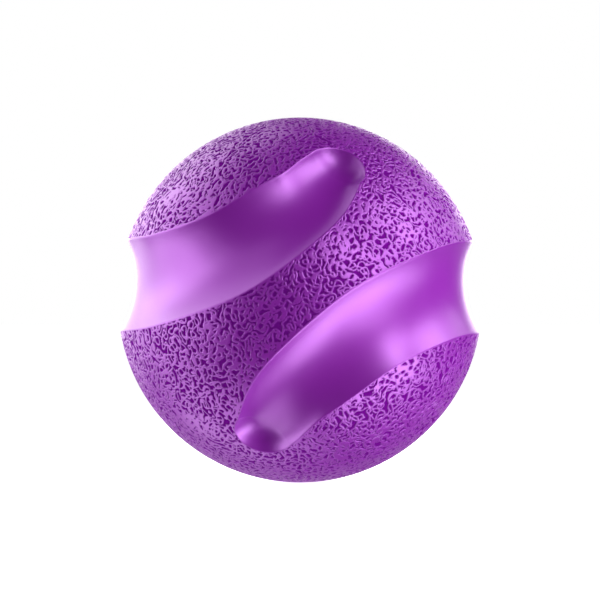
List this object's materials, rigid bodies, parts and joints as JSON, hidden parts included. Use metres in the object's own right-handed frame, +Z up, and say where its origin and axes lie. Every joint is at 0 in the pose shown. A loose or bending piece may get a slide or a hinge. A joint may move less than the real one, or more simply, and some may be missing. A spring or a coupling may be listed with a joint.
{
  "type": "playground ball",
  "caption": "Hand-size inflated rubber ball: pitted cover halves with winding finger grooves over a nylon winding, a bladder and a needle valve.",
  "frame": {"origin": "centre of the ball", "axes": "+Z is up and is the axis of the half-turn that carries one cover half and groove onto the other; -Y is the front; +Y runs out through the valve; the seam is in the plane y = 0"},
  "size_m": [0.0688, 0.0698, 0.07],
  "materials": {
    "cover_rubber": "satin pearl purple, pitted on the lands and smooth in the grooves",
    "rubber_cement": "matte dark purple film",
    "nylon_thread": "off-white wound thread",
    "butyl_rubber": "matte black",
    "valve_rubber": "matte black",
    "soft_rubber": "matte dark grey"
  },
  "bodies": {
    "root": {"front_cover": "cover_rubber", "rear_cover": "cover_rubber", "seam_cement": "rubber_cement", "nylon_winding": "nylon_thread", "bladder": "butyl_rubber", "valve_body": "valve_rubber", "valve_core": "soft_rubber"}
  },
  "joints": []
}
